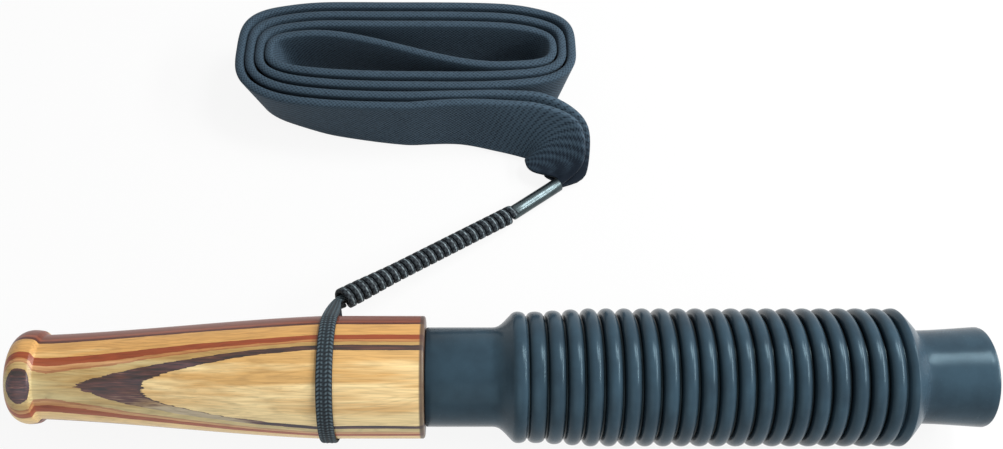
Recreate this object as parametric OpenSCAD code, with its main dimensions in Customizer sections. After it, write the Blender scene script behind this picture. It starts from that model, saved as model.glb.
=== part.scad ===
// Deer grunt call lying on its side: a turned wooden barrel with a reed insert, a ribbed rubber hose,
// and a lanyard whose noose goes round the barrel. Millimetres. +X runs from the mouth to the outlet,
// +Z is up, and the origin is on the table below the middle of the call.

/* [Barrel] */
// Length of the wooden barrel
barrel_len = 102; // [96:1:115]
// Radius of the barrel's straight big end
barrel_r = 15.1; // [14.5:0.1:15.8]
// Length of the straight big end
big_end_len = 26; // [23:1:30]
// Radius of the neck behind the lip
neck_r = 10.4; // [9.8:0.1:11]
// Radius of the lip's bead
lip_r = 11.6; // [11.4:0.1:12.6]
// Length of the lip up to the end of its crest
lip_len = 6.3; // [5.5:0.1:8]
// Length of the step from the lip's crest down to the neck
lip_back_len = 1.5; // [1.2:0.1:3.5]
// Radius of the flat mouth face
mouth_face_r = 7.8; // [7.5:0.1:9.5]
// Radius of the mouth bore
mouth_bore_r = 4.75; // [3.5:0.25:6]
// Radius of the chamber that takes the insert
chamber_r = 8; // [7.6:0.1:8.6]
// Depth of the chamber from the big end
chamber_len = 62; // [60:1:70]
// Chamfer at the big end
end_chamfer = 0.6; // [0.3:0.1:1.2]

/* [Insert] */
// Length of the plug in the chamber
plug_len = 16; // [15:0.5:20]
// Radial clearance of the plug in the chamber
plug_clear = 0.08; // [0.04:0.02:0.1]
// Length of the stub that carries the hose
stub_len = 17; // [14:0.5:18]
// Radius of the stub
stub_r = 10.6; // [9.6:0.1:11.4]
// Length of the tone board
board_len = 40; // [38:0.5:42]
// Step from the plug in to the tone board's back
board_step = 1.3; // [1.1:0.1:1.6]
// Drop of the tone board's face from its root to its tip
board_drop = 1.2; // [1.1:0.1:1.6]
// Radius of the air channel
air_r = 2.4; // [2:0.1:2.6]
// Width of the reed
reed_w = 9; // [8:0.1:9.4]
// Thickness of the reed
reed_t = 0.5; // [0.3:0.1:0.7]
// Length of the reed that is free to buzz
reed_free = 36; // [32:0.5:37]
// Depth of the slot that holds the reed and the wedge
slot_depth = 8; // [7:0.5:10]
// Thickness of the cork wedge at its thick end
wedge_t = 2; // [1.6:0.1:2.4]
// Width of the tuning ring along the reed
ring_w = 2.4; // [1.6:0.1:3.2]
// Clearance of the tuning ring round the board and the reed
ring_clear = 0.3; // [0.2:0.05:0.4]
// Distance of the tuning ring from the plug
ring_at = 14; // [12:0.5:18]
// Cord radius of the seal rings
seal_r = 0.9; // [0.7:0.05:1]

/* [Hose] */
// Wall of the rubber
hose_wall = 1.6; // [1.2:0.1:2]
// Length of the plain cuff
cuff_len = 18; // [17.5:0.5:22]
// Radius over the ribs
rib_r = 17; // [16.8:0.1:18.5]
// Depth of the grooves between the ribs
rib_depth = 1.5; // [1:0.1:1.8]
// Distance from one rib to the next
rib_pitch = 4.465; // [4.2:0.005:4.8]
// Ribs in the stretch that bends sideways
ribs_front = 7; // [5:1:9]
// Ribs in the stretch that bends up and down
ribs_middle = 7; // [5:1:9]
// Ribs in the stretch that pulls longer
ribs_rear = 6; // [4:1:8]
// How much smaller the first rib is
lead_drop = 0.8; // [0:0.1:1]
// Length of the shoulder between the cuff and the first groove
shoulder_len = 7.1; // [6.5:0.1:8]
// Length of the round shoulder before the outlet
end_shoulder_len = 7; // [6:0.1:8]
// Length of the plain outlet
outlet_len = 16.6; // [14:0.1:20]
// Radius of the outlet's bore
outlet_bore_r = 9.9; // [9:0.1:10.4]
// Flare of the outlet's outside at its end
outlet_flare = 0.9; // [0:0.1:1]
// Depth of the flat that the hose's weight presses under it
rest_flat = 0.5; // [0:0.1:0.6]

/* [Noose] */
// Width of the flat cord round the barrel
noose_w = 4; // [3:0.1:5]
// Thickness of the flat cord
noose_t = 1; // [0.8:0.1:1.2]
// Distance of the noose from the barrel's big end
noose_from_end = 23.5; // [18:0.5:24]
// Width of a leg of the cord under the whipping
leg_w = 2; // [1.6:0.1:2]
// Thickness of a leg of the cord under the whipping
leg_t = 1; // [0.9:0.1:1.1]
// Gap between the two legs
leg_gap = 0.3; // [0.2:0.05:0.4]
// Width of the whipping's flat braid along the legs
whip_w = 1.85; // [1.6:0.05:1.9]
// Thickness of the whipping's flat braid
whip_t = 1.2; // [0.8:0.1:1.3]
// Clearance of the whipping round the legs
whip_clear = 0.05; // [0.05:0.05:0.3]
// Turns of the whipping
whip_turns = 24; // [20:1:24]
// Step of the whipping from turn to turn
whip_pitch = 2.43; // [2.35:0.01:2.44]

/* [Strap] */
// Width of the neck strap
strap_w = 19; // [16:0.5:20]
// Thickness of the neck strap
strap_t = 2.2; // [1.6:0.1:2.4]
// Outside radius of the crimp sleeve
crimp_r = 2.05; // [2:0.05:2.5]
// Bore radius of the crimp sleeve
crimp_bore_r = 1.65; // [1.65:0.05:1.8]
// Half length of the coil's innermost half turn
coil_half_len = 42; // [38:0.5:46]
// Half depth of the coil's innermost half turn
coil_half_depth = 6.4; // [5:0.1:8]
// Growth of the coil's half length in each half turn
coil_len_step = 2.9; // [2.8:0.1:3.4]
// Growth of the coil's half depth in each half turn
coil_depth_step = 4; // [3.6:0.1:4.4]
// Squareness of the coil's oval at its back, where 2 is an ellipse
coil_square_back = 4.4; // [3:0.1:4.5]
// Squareness of the coil's oval at its front
coil_square_front = 3.1; // [2.5:0.1:4]

/* [Hidden] */
$fn = 96;
eps = 0.01;
// Small gap between faces that rest on each other
face_gap = 0.05;
wood = "burlywood";
rubber = "#2b3842";
braid = "#27303a";

// Places along the call, counted from the mouth
cuff_end = barrel_len + cuff_len;
first_groove = cuff_end + shoulder_len;
rib_total = ribs_front + ribs_middle + ribs_rear;
front_end = first_groove + ribs_front * rib_pitch;
middle_end = front_end + ribs_middle * rib_pitch;
rear_end = middle_end + ribs_rear * rib_pitch;
outlet_start = rear_end + end_shoulder_len;
call_len = outlet_start + outlet_len;
noose_at = barrel_len - noose_from_end;

// Radii that follow from what fits in what
plug_r = chamber_r - plug_clear;
board_r = plug_r - board_step;
cuff_bore_r = stub_r + face_gap;
cuff_r = cuff_bore_r + hose_wall;
groove_r = rib_r - rib_depth;
hose_bore_r = groove_r - hose_wall;
bead_r = rib_pitch * 0.47;
outlet_r = outlet_bore_r + hose_wall;
noose_clear = 0.12;
noose_in_r = barrel_r + noose_clear;
noose_out_r = noose_in_r + noose_t;
axis_z = max(rib_r - rest_flat, noose_out_r + face_gap);
board_tip = barrel_len - plug_len - board_len;

// The lanyard's route on the table. A tail's stations give the strap's lower and upper edge.
knot = [-42, 24, 12];
crimp_from = [5.5, 58.5, 3.2];
crimp_to = [19.5, 69.5, 2.6];
coil_centre = [-24.5, 108.9];
front_tail_stations = [
    [[-10, 87.2, 0.1], [-10, 87.8, 19]],
    [[2, 84.1, 0.2], [3, 88, 18.5]],
    [[10, 81.1, 0.5], [15, 87.5, 17.5]],
    [[10, 79, 2], [25.5, 84, 14.5]],
    [[10.5, 74.7, 3.6], [27.5, 76.5, 8.5]],
    [[13.2, 71.8, 4.4], [26, 73, 5.4]]
];
back_tail_stations = [
    [[-10, 90.5, 0.1], [-10, 91, 19]],
    [[3, 88.5, 0.2], [4, 91.8, 18.5]],
    [[12, 85, 0.5], [17, 91.5, 17]],
    [[15, 80.5, 1], [28, 87, 11]],
    [[15.5, 75.5, 1.2], [29, 77.5, 4.5]],
    [[16, 72.2, 1.3], [26.5, 70.4, 1.8]]
];

function unit(v) = v / norm(v);
function mix(a, b, u) = a + (b - a) * u;
function smooth(u) = u * u * (3 - 2 * u);

// Puts children that are drawn along the call's own axis, mouth at 0, where the call lies.
module on_call() {
    translate([-call_len / 2, 0, axis_z]) children();
}

// Turns a half section drawn as [radius, place along the call] about the call's axis.
module turned() {
    on_call() rotate([0, 90, 0]) rotate_extrude() children();
}

// Cuts off what would sink below the table.
module on_table() {
    difference() {
        children();
        translate([-call_len, -call_len / 2, -call_len]) cube([2 * call_len, call_len, call_len]);
    }
}

// Ring [inner radius, outer radius] of a half section between two places.
module band(r_in, r_out, from, to) {
    translate([r_in, from]) square([r_out - r_in, to - from]);
}

// Joins rings of points, each ring turning from its width to its thickness, into one closed solid.
module loft(rings) {
    sides = len(rings[0]);
    last = (len(rings) - 1) * sides;
    walls = [
        for (i = [0 : len(rings) - 2], j = [0 : sides - 1])
            let (a = i * sides + j, b = i * sides + (j + 1) % sides)
            each [[a, a + sides, b + sides], [a, b + sides, b]]
    ];
    caps = [for (j = [1 : sides - 2]) each [[0, j, j + 1], [last, last + j + 1, last + j]]];
    polyhedron(points = [for (r = rings) each r], faces = concat(walls, caps));
}

// Six-sided flat section of a cord at a point, square to its heading, with its face along a normal.
function cord_ring(at, heading, face, w, t) =
    let (n = unit(face - heading * (face * heading)), across = cross(n, heading))
    [for (c = [[w / 2, 0], [w / 4, t / 2], [-w / 4, t / 2], [-w / 2, 0], [-w / 4, -t / 2], [w / 4, -t / 2]])
        at + across * c[0] + n * c[1]];

// Eight-sided section of the strap from its lower edge to its upper edge.
function strap_ring(low, high, heading, t) =
    let (
        rise = high - low,
        w = norm(rise),
        up = rise / w,
        out = unit(cross(up, heading)),
        c = min(t, w) / 4
    )
    [for (p = [[c - t / 2, 0], [t / 2 - c, 0], [t / 2, c], [t / 2, w - c],
               [t / 2 - c, w], [c - t / 2, w], [-t / 2, w - c], [-t / 2, c]])
        low + out * p[0] + up * p[1]];

// Least distance between points of a path that are at least skip steps apart.
function least_apart(path, skip) =
    min([for (i = [0 : len(path) - 1 - skip], j = [i + skip : len(path) - 1]) norm(path[i] - path[j])]);

// Barrel

neck_at = lip_len + lip_back_len;
taper_end = barrel_len - big_end_len;
lip_round = 4.4;
lip_steps = 6;
taper_steps = 14;

// Radius of the taper from the neck to the big end, almost straight and eased at both ends.
function taper_r(u) = mix(neck_r, barrel_r, 0.6 * u + 0.4 * smooth(u));

module barrel_outline() {
    polygon(concat(
        [[0, 0]],
        [for (i = [0 : lip_steps]) let (a = 90 * i / lip_steps)
            [mix(mouth_face_r, lip_r, sin(a)), lip_round * (1 - cos(a))]],
        [for (i = [0 : lip_steps]) let (u = i / lip_steps)
            [mix(lip_r, neck_r, smooth(u)), mix(lip_len, neck_at, u)]],
        [for (i = [1 : taper_steps]) let (u = i / taper_steps)
            [taper_r(u), mix(neck_at, taper_end, u)]],
        [[barrel_r, barrel_len - end_chamfer], [barrel_r - end_chamfer, barrel_len], [0, barrel_len]]
    ));
}

module barrel() {
    color(wood) turned() difference() {
        barrel_outline();
        band(0, mouth_bore_r, -1, barrel_len);
        band(0, chamber_r, barrel_len - chamber_len, barrel_len + 1);
    }
}

// Insert and reed

seal_groove_w = 2.4 * seal_r;
seal_front_at = barrel_len - plug_len * 0.68;
seal_rear_at = barrel_len - plug_len * 0.3;
plug_start = barrel_len - plug_len;
slot_w = reed_w + 0.4;
slot_h = reed_t + wedge_t + 0.2;
channel_w = 4;
channel_inset = 4;
past_tip = 5;
channel_z = -air_r - 0.6;
face_angle = atan(board_drop / board_len);

module seal_groove(at) {
    turned() band(plug_r - 2 * seal_r, plug_r + 1, at - seal_groove_w / 2, at + seal_groove_w / 2);
}

// Space over the tone board's sloping face, from the plug to past the tip.
module over_board() {
    on_call() translate([plug_start, 0, -face_gap]) rotate([0, -face_angle, 0])
        translate([-board_len - past_tip, -plug_r, 0])
            cube([board_len + past_tip, 2 * plug_r, 2 * plug_r]);
}

module insert() {
    color("dimgray") difference() {
        turned() union() {
            band(0, board_r, board_tip, plug_start + eps);
            band(0, plug_r, plug_start, barrel_len + face_gap + eps);
            band(0, stub_r, barrel_len + face_gap, barrel_len + stub_len);
        }
        over_board();
        for (at = [seal_front_at, seal_rear_at]) seal_groove(at);
        on_call() {
            translate([board_tip + channel_inset, 0, channel_z]) rotate([0, 90, 0])
                cylinder(r = air_r, h = board_len + plug_len + stub_len);
            translate([board_tip + channel_inset, -channel_w / 2, channel_z])
                cube([board_len - 2 * channel_inset, channel_w, plug_r]);
            translate([plug_start - 1, -slot_w / 2, 0]) cube([slot_depth + 1, slot_w, slot_h]);
        }
    }
}

module reed() {
    color("ghostwhite") on_call()
        translate([plug_start - reed_free, -reed_w / 2, 0])
            cube([reed_free + slot_depth - face_gap, reed_w, reed_t]);
}

// Seen from the side, the wedge is thick at the plug's mouth and thin at the slot's end, which leaves
// the reed's root room to tip as its tongue buzzes.
wedge_end = plug_start + slot_depth - 0.3;
wedge_relief = 0.3;

module cork_wedge() {
    color("peru") on_call()
        translate([0, reed_w / 2, reed_t + face_gap]) rotate([90, 0, 0])
            linear_extrude(reed_w) polygon([
                [plug_start, 0],
                [wedge_end, wedge_relief],
                [wedge_end, wedge_t - wedge_relief],
                [plug_start, wedge_t]
            ]);
}

// Outline of the board and the reed, grown all round, lying across the call.
module board_outline(grow) {
    intersection() {
        circle(r = board_r + grow);
        translate([-board_r - grow, -board_r - grow])
            square([2 * (board_r + grow), board_r + grow + reed_t + grow]);
    }
}

ring_wall = chamber_r - board_r - 2 * ring_clear;

module tuning_ring() {
    color("darkgreen") on_call()
        translate([plug_start - ring_at - ring_w / 2, 0, 0]) rotate([90, 0, 90])
            linear_extrude(ring_w) difference() {
                board_outline(ring_clear + ring_wall);
                board_outline(ring_clear);
            }
}

module seal_ring(at) {
    color("black") turned() translate([chamber_r - face_gap - seal_r, at]) circle(r = seal_r);
}

module seal_ring_front() {
    seal_ring(seal_front_at);
}

module seal_ring_rear() {
    seal_ring(seal_rear_at);
}

// Hose

// Height of a rib above the groove's bottom. The first few ribs are a little smaller.
lead_ribs = 3;
function rib_out_r(i) = rib_r - lead_drop * max(0, 1 - i / lead_ribs);

module rib_beads(first, count, start) {
    for (k = [0 : count - 1])
        translate([rib_out_r(first + k) - bead_r, start + (k + 0.5) * rib_pitch]) circle(r = bead_r);
}

// Ribbed stretch of hose with its bore, ending in the middle of a groove at both ends.
module bellows(first, count, start) {
    color(rubber) on_table() turned() difference() {
        union() {
            band(hose_bore_r, groove_r, start, start + count * rib_pitch);
            rib_beads(first, count, start);
        }
        band(0, hose_bore_r, start - 1, start + count * rib_pitch + 1);
    }
}

module hose_bellows_front() {
    bellows(0, ribs_front, first_groove);
}

module hose_bellows_middle() {
    bellows(ribs_front, ribs_middle, front_end);
}

module hose_bellows_rear() {
    bellows(ribs_front + ribs_middle, ribs_rear, middle_end);
}

shoulder_bead_at = first_groove - rib_pitch / 2;
shoulder_top_r = rib_out_r(0) - bead_r * 0.25;

module hose_cuff() {
    inner_ramp = first_groove - hose_wall;
    color(rubber) on_table() turned() difference() {
        union() {
            polygon([
                [0, barrel_len + 2 * face_gap],
                [cuff_r, barrel_len + 2 * face_gap],
                [cuff_r, cuff_end],
                [shoulder_top_r, shoulder_bead_at - bead_r * 0.66],
                [groove_r, shoulder_bead_at],
                [groove_r, first_groove],
                [0, first_groove]
            ]);
            translate([rib_out_r(0) - bead_r, shoulder_bead_at]) circle(r = bead_r);
        }
        polygon([
            [0, barrel_len],
            [cuff_bore_r, barrel_len],
            [cuff_bore_r, cuff_end],
            [hose_bore_r, inner_ramp],
            [hose_bore_r, first_groove + 1],
            [0, first_groove + 1]
        ]);
    }
}

end_steps = 8;
// Fullness of the end shoulder, where 1 is a quarter of an ellipse and 2 is a cone
end_slope = 1.85;

module hose_outlet() {
    crest_at = rear_end + rib_pitch / 2;
    color(rubber) on_table() turned() difference() {
        union() {
            polygon(concat(
                [[0, rear_end], [groove_r, rear_end], [groove_r, crest_at]],
                [for (i = [0 : end_steps]) let (a = 90 * i / end_steps)
                    [mix(outlet_r, rib_r - 0.2, pow(cos(a), end_slope)),
                     mix(crest_at, outlet_start, pow(sin(a), end_slope))]],
                [[outlet_r + outlet_flare, call_len], [0, call_len]]
            ));
            translate([rib_r - bead_r, crest_at]) circle(r = bead_r);
        }
        polygon([
            [0, rear_end - 1],
            [hose_bore_r, rear_end - 1],
            [hose_bore_r, rear_end + hose_wall],
            [outlet_bore_r, outlet_start - hose_wall],
            [outlet_bore_r, call_len + 1],
            [0, call_len + 1]
        ]);
    }
}

// Noose, whipping and crimp

noose_x = noose_at - call_len / 2;
noose_mid_r = noose_in_r + noose_t / 2;
whip_dir = unit(crimp_from - knot);
whip_up = unit([0, 0, 1] - whip_dir * whip_dir[2]);
leg_offset = (leg_t + leg_gap) / 2;
knot_run = [knot[1], knot[2] - axis_z];
knot_angle = atan2(knot_run[1], knot_run[0]);
leave_angle = acos(noose_mid_r / norm(knot_run));
arc_from = knot_angle + leave_angle;
arc_to = knot_angle + 360 - leave_angle;
arc_steps = 30;

function round_barrel(a) = [noose_x, noose_mid_r * cos(a), axis_z + noose_mid_r * sin(a)];
function outward(a) = [0, cos(a), sin(a)];

// A leg from the barrel to the knot, in steps: it narrows and turns to lie along the whipping.
leg_steps = 5;
function leg_rings(a, side) =
    let (
        from = round_barrel(a),
        to = knot + whip_up * side * leg_offset,
        heading = unit(to - from)
    )
    [for (i = [1 : leg_steps]) let (u = i / leg_steps)
        cord_ring(
            mix(from, to, u), unit(mix(heading, whip_dir, smooth(u))),
            unit(mix(outward(a), whip_up * side, u)),
            mix(noose_w, leg_w, u * u), mix(noose_t, leg_t, u))];

function reversed(list) = [for (i = [len(list) - 1 : -1 : 0]) list[i]];

// The same ring for a path that runs the other way.
function turned_back(ring) = [for (i = [0 : len(ring) - 1]) ring[(len(ring) + 3 - i) % len(ring)]];

module noose_loop() {
    arc = [for (i = [0 : arc_steps]) let (a = mix(arc_from, arc_to, i / arc_steps))
        cord_ring(round_barrel(a), [0, -sin(a), cos(a)], outward(a), noose_w, noose_t)];
    upper = [for (r = reversed(leg_rings(arc_from, 1))) turned_back(r)];
    color(braid) loft(concat(upper, arc, leg_rings(arc_to, -1)));
}

leg_in_crimp = 6;

// One leg of the cord under the whipping, over (1) or under (-1) the other.
module noose_leg(side) {
    crimp_dir = unit(crimp_to - crimp_from);
    shift = whip_up * side * leg_offset;
    face = whip_up * side;
    color(braid) loft([
        cord_ring(knot + shift, whip_dir, face, leg_w, leg_t),
        cord_ring(crimp_from - whip_dir + shift, whip_dir, face, leg_w, leg_t),
        cord_ring(crimp_from + crimp_dir * leg_in_crimp + shift, crimp_dir, face, leg_w, leg_t)
    ]);
}

module noose_leg_upper() {
    noose_leg(1);
}

module noose_leg_lower() {
    noose_leg(-1);
}

whip_start = 0.8;
curl_rings = 8;
// The legs' outer corner decides how far in the whipping can lie, as its curls are flat between rings.
whip_core_r = (norm([leg_offset + leg_t / 2, leg_w / 4]) + whip_clear) / cos(180 / curl_rings);
whip_r = whip_core_r + whip_t / 2;
whip_side = cross(whip_dir, whip_up);
whip_phase = 200;

// The first turns lie over the cord's fold, so they are wider.
whip_swell = 0.5;
swell_turns = 8;

function whip_point(turn) =
    let (a = 360 * turn + whip_phase, r = whip_r + whip_swell * (1 - smooth(min(turn / swell_turns, 1))))
    knot + whip_dir * (whip_start + whip_w / 2 + turn * whip_pitch)
        + (whip_up * cos(a) + whip_side * sin(a)) * r;
function whip_out(turn) =
    let (a = 360 * turn + whip_phase) whip_up * cos(a) + whip_side * sin(a);
function whip_heading(turn) =
    let (a = 360 * turn + whip_phase)
    unit(whip_dir * whip_pitch + (whip_side * cos(a) - whip_up * sin(a)) * 2 * PI * whip_r);

whip_last = whip_turns - 1;
whip_path = [for (i = [0 : whip_last * curl_rings]) whip_point(i / curl_rings)];

// The braid's two ends run out straight for one width.
module whipping() {
    color(braid) loft(concat(
        [cord_ring(whip_point(0) - whip_heading(0) * whip_w, whip_heading(0), whip_out(0), whip_w, whip_t)],
        [for (i = [0 : whip_last * curl_rings]) let (turn = i / curl_rings)
            cord_ring(whip_point(turn), whip_heading(turn), whip_out(turn), whip_w, whip_t)],
        [cord_ring(whip_point(whip_last) + whip_heading(whip_last) * whip_w, whip_heading(whip_last),
            whip_out(whip_last), whip_w, whip_t)]
    ));
}

module crimp_sleeve() {
    run = crimp_to - crimp_from;
    color("silver") translate(crimp_from)
        rotate([0, acos(run[2] / norm(run)), atan2(run[1], run[0])]) difference() {
            cylinder(r = crimp_r, h = norm(run));
            translate([0, 0, -1]) cylinder(r = crimp_bore_r, h = norm(run) + 2);
        }
}

// Neck strap

loop_rings = 24;
turn_step = 360 / loop_rings;
// The two arms start at the ends of the S that crosses the coil's middle.
front_arm_start = -60;
back_arm_start = 120;
arm_end = 630;
s_steps = 8;

function signed_pow(v, p) = sign(v) * pow(abs(v), p);

// Point of the oval spiral at an angle, after some half turns.
function oval(a, half_turns) =
    let (
        half_len = coil_half_len + coil_len_step * half_turns,
        half_depth = coil_half_depth + coil_depth_step * half_turns,
        p = 2 / (sin(a) < 0 ? coil_square_front : coil_square_back)
    )
    coil_centre + [half_len * signed_pow(cos(a), p), half_depth * signed_pow(sin(a), p)];
function front_arm(a) = oval(a, (a + 90) / 180);
function back_arm(a) = oval(a, (a - 90) / 180);

s_from = back_arm(back_arm_start);
s_to = front_arm(front_arm_start);
strap_path = concat(
    [for (a = [arm_end : -turn_step : back_arm_start]) back_arm(a)],
    [for (i = [1 : s_steps - 1]) let (u = i / s_steps)
        [mix(s_from[0], s_to[0], u), mix(s_from[1], s_to[1], smooth(u))]],
    [for (a = [front_arm_start : turn_step : arm_end]) front_arm(a)]
);

// Heading of the strap at a step. Both ends run straight along X, where the tails join.
function strap_heading(i) =
    let (last = len(strap_path) - 1)
    i == 0 ? [-1, 0, 0] :
    i == last ? [1, 0, 0] :
    let (d = unit(strap_path[i + 1] - strap_path[i - 1])) [d[0], d[1], 0];

// The strap leans outwards at the coil's two ends and at the left of its front: its lower edge is drawn
// in by this much there, and its upper edge drops so that its width stays.
lean_left = 5.2;
lean_right = 4.6;
lean_front = 4;
function ramp(from, to, v) = smooth(min(1, max(0, (v - from) / (to - from))));
function drawn_in(p) =
    let (u = (p[0] - coil_centre[0]) / coil_half_len, v = (p[1] - coil_centre[1]) / coil_half_len)
    [lean_left * ramp(-0.5, -1, u) - lean_right * ramp(0.6, 1, u),
     lean_front * ramp(0.2, -0.85, u) * ramp(0.42, -0.5, v)];
function edges_at(p) =
    let (d = drawn_in(p), lean = norm(d) / strap_w)
    [[p[0] + d[0], p[1] + d[1], lean * strap_t / 2], [p[0], p[1], strap_w * sqrt(1 - lean * lean)]];

module strap_coil() {
    color(braid) loft([
        for (i = [0 : len(strap_path) - 1])
            let (edges = edges_at(strap_path[i]))
            strap_ring(edges[0], edges[1], strap_heading(i), strap_t)
    ]);
}

// Curve through four neighbouring stations, between the second and the third.
function between(a, b, c, d, u) =
    b + ((c - a) * u + (2 * a - 5 * b + 4 * c - d) * u * u + (3 * b - a - 3 * c + d) * u * u * u) / 2;
tail_cuts = 3;
tail_thin_cuts = 6;
tail_in_crimp = 5;
tail_neck = 1.5;

// The strap from the coil's end through its stations into the crimp, over (1) or under (-1) the other.
module strap_tail(coil_end, stations, side) {
    into = unit(crimp_from - crimp_to);
    across = unit(cross(into, [0, 0, 1])) * -leg_w / 2;
    lift = unit(cross(into, across)) * side * leg_offset;
    mouth = crimp_to - into * tail_neck + lift;
    inside = crimp_to + into * tail_in_crimp + lift;
    key = concat(
        [edges_at(coil_end)],
        stations,
        [[mouth - across, mouth + across], [inside - across, inside + across]]
    );
    last = len(key) - 1;
    at = function (i, u) [for (e = [0, 1])
        between(key[max(i - 1, 0)][e], key[i][e], key[min(i + 1, last)][e], key[min(i + 2, last)][e], u)];
    edges = concat(
        [for (i = [0 : last - 2], k = [0 : tail_cuts - 1]) at(i, k / tail_cuts)],
        [key[last - 1], key[last]]
    );
    mids = [for (e = edges) (e[0] + e[1]) / 2];
    end = len(edges) - 1;
    color(braid) loft([
        for (i = [0 : end])
            let (
                heading = i == 0 ? [1, 0, 0] : i >= end - 1 ? into : unit(mids[i + 1] - mids[i - 1]),
                t = mix(leg_t, strap_t, min(1, max(0, end - 1 - i) / tail_thin_cuts))
            )
            strap_ring(edges[i][0], edges[i][1], heading, t)
    ]);
}

module strap_tail_front() {
    strap_tail(front_arm(arm_end), front_tail_stations, 1);
}

module strap_tail_back() {
    strap_tail(back_arm(arm_end), back_tail_stations, -1);
}

strap_foot = [for (p = strap_path) p + drawn_in(p)];
echo(coil_least_gap = least_apart(strap_path, loop_rings / 3) - strap_t);
echo(coil_foot_least_gap = least_apart(strap_foot, loop_rings / 3) - strap_t);
echo(whipping_least_gap = least_apart(whip_path, curl_rings / 2 + 2) - whip_w);
echo(call_length = call_len, cuff_radius = cuff_r, outlet_start = outlet_start);

barrel();
insert();
reed();
cork_wedge();
tuning_ring();
seal_ring_front();
seal_ring_rear();
hose_cuff();
hose_bellows_front();
hose_bellows_middle();
hose_bellows_rear();
hose_outlet();
noose_loop();
noose_leg_upper();
noose_leg_lower();
whipping();
crimp_sleeve();
strap_tail_front();
strap_tail_back();
strap_coil();
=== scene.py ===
import math

import bpy
import numpy as np
from mathutils import Matrix, Vector


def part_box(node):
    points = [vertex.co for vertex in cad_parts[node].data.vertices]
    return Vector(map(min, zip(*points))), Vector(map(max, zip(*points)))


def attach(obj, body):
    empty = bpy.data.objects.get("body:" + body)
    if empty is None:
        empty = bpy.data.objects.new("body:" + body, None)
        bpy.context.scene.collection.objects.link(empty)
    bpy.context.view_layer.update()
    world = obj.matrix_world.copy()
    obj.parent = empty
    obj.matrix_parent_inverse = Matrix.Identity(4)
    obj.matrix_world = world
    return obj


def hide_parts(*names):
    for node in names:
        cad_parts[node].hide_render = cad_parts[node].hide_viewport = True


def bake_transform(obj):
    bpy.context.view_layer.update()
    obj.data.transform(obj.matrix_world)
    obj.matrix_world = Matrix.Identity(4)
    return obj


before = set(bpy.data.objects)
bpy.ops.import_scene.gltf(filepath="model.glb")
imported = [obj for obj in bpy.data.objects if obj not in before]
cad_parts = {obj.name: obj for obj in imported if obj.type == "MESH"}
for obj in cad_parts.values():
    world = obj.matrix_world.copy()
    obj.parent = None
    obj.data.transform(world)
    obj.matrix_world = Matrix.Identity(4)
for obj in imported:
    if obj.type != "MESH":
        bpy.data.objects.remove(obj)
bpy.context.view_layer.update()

# Barrel
# A blank of dyed hardwood veneers, glued in a stack, is turned to a mouthpiece with a bead lip, drilled
# through, bored wide at the big end for the reed insert, then sanded and dipped in clear lacquer.
# The turning cuts through the stack, so its layers show as long ovals and points.

MM = 0.001
barrel_low, barrel_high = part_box("barrel")
axis_height = (barrel_low.z + barrel_high.z) / 2
# Puts what is turned about its own X axis, with the mouth at 0, where the call lies.
on_call = Matrix.Translation((barrel_low.x, 0, axis_height))


def linear(colour):
    """Linear RGBA of an sRGB hex colour."""
    parts = [int(colour[i : i + 2], 16) / 255 for i in (1, 3, 5)]
    return [c / 12.92 if c <= 0.04045 else ((c + 0.055) / 1.055) ** 2.4 for c in parts] + [1]


def set_inputs(node, links):
    """Feeds inputs, by name or number, from an output, from a node's first output or with a plain value."""
    for key, value in links.items():
        if isinstance(value, bpy.types.Node):
            value = value.outputs[0]
        if isinstance(value, bpy.types.NodeSocket):
            node.id_data.links.new(value, node.inputs[key])
        else:
            node.inputs[key].default_value = value


def add_node(tree, kind, links=None, **settings):
    """A node with its settings, and its inputs fed by links."""
    node = tree.nodes.new(kind)
    for key, value in settings.items():
        setattr(node, key, value)
    set_inputs(node, links or {})
    return node


def set_stops(tones, *stops):
    """Sets a colour ramp's stops, each a place from 0 to 1 and an sRGB hex colour, in rising order."""
    elements = tones.color_ramp.elements
    for i, (place, colour) in enumerate(stops):
        stop = elements[i] if i < len(elements) else elements.new(place)
        stop.position = place
        stop.color = linear(colour)


def new_material(name):
    """A new material, its node tree, its shader and its Object coordinates in mm."""
    material = bpy.data.materials.new(name)
    material.use_nodes = True
    tree = material.node_tree
    links = {"Vector": add_node(tree, "ShaderNodeTexCoord").outputs["Object"], "Scale": (MM, MM, MM)}
    place = add_node(tree, "ShaderNodeMapping", links, vector_type="TEXTURE")
    return material, tree, tree.nodes["Principled BSDF"], place


def add_object(name, data):
    """A new object in the scene."""
    piece = bpy.data.objects.new(name, data)
    bpy.context.scene.collection.objects.link(piece)
    return piece


def eased(u):
    """A rise from 0 to 1 that starts and ends level."""
    return u * u * (3 - 2 * u)


def turned(name, section, place, finish, sides=160):
    """A piece turned from a closed half section of (place along, radius) points in mm."""
    angles = np.arange(sides) * math.tau / sides
    points = [(s * MM, r * MM * math.cos(a), r * MM * math.sin(a)) for s, r in section for a in angles]
    count = len(section)
    faces = [
        (i * sides + k, i * sides + (k + 1) % sides, j * sides + (k + 1) % sides, j * sides + k)
        for i in range(count)
        for j in [(i + 1) % count]
        for k in range(sides)
    ]
    mesh = bpy.data.meshes.new(name)
    mesh.from_pydata(points, [], faces)
    mesh.transform(place)
    mesh.shade_smooth()
    mesh.set_sharp_from_angle(angle=math.radians(38))
    mesh.materials.append(finish)
    return add_object(name, mesh)


# Lacquered veneer laminate: layers 0.3 to 5 mm thick in natural, red, purple and brown dyes, with grain
# in fine long streaks and slow arches, under a thin coat of satin lacquer.
wood, wood_tree, wood_finish, wood_place = new_material("lacquered_veneer_laminate")
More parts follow.
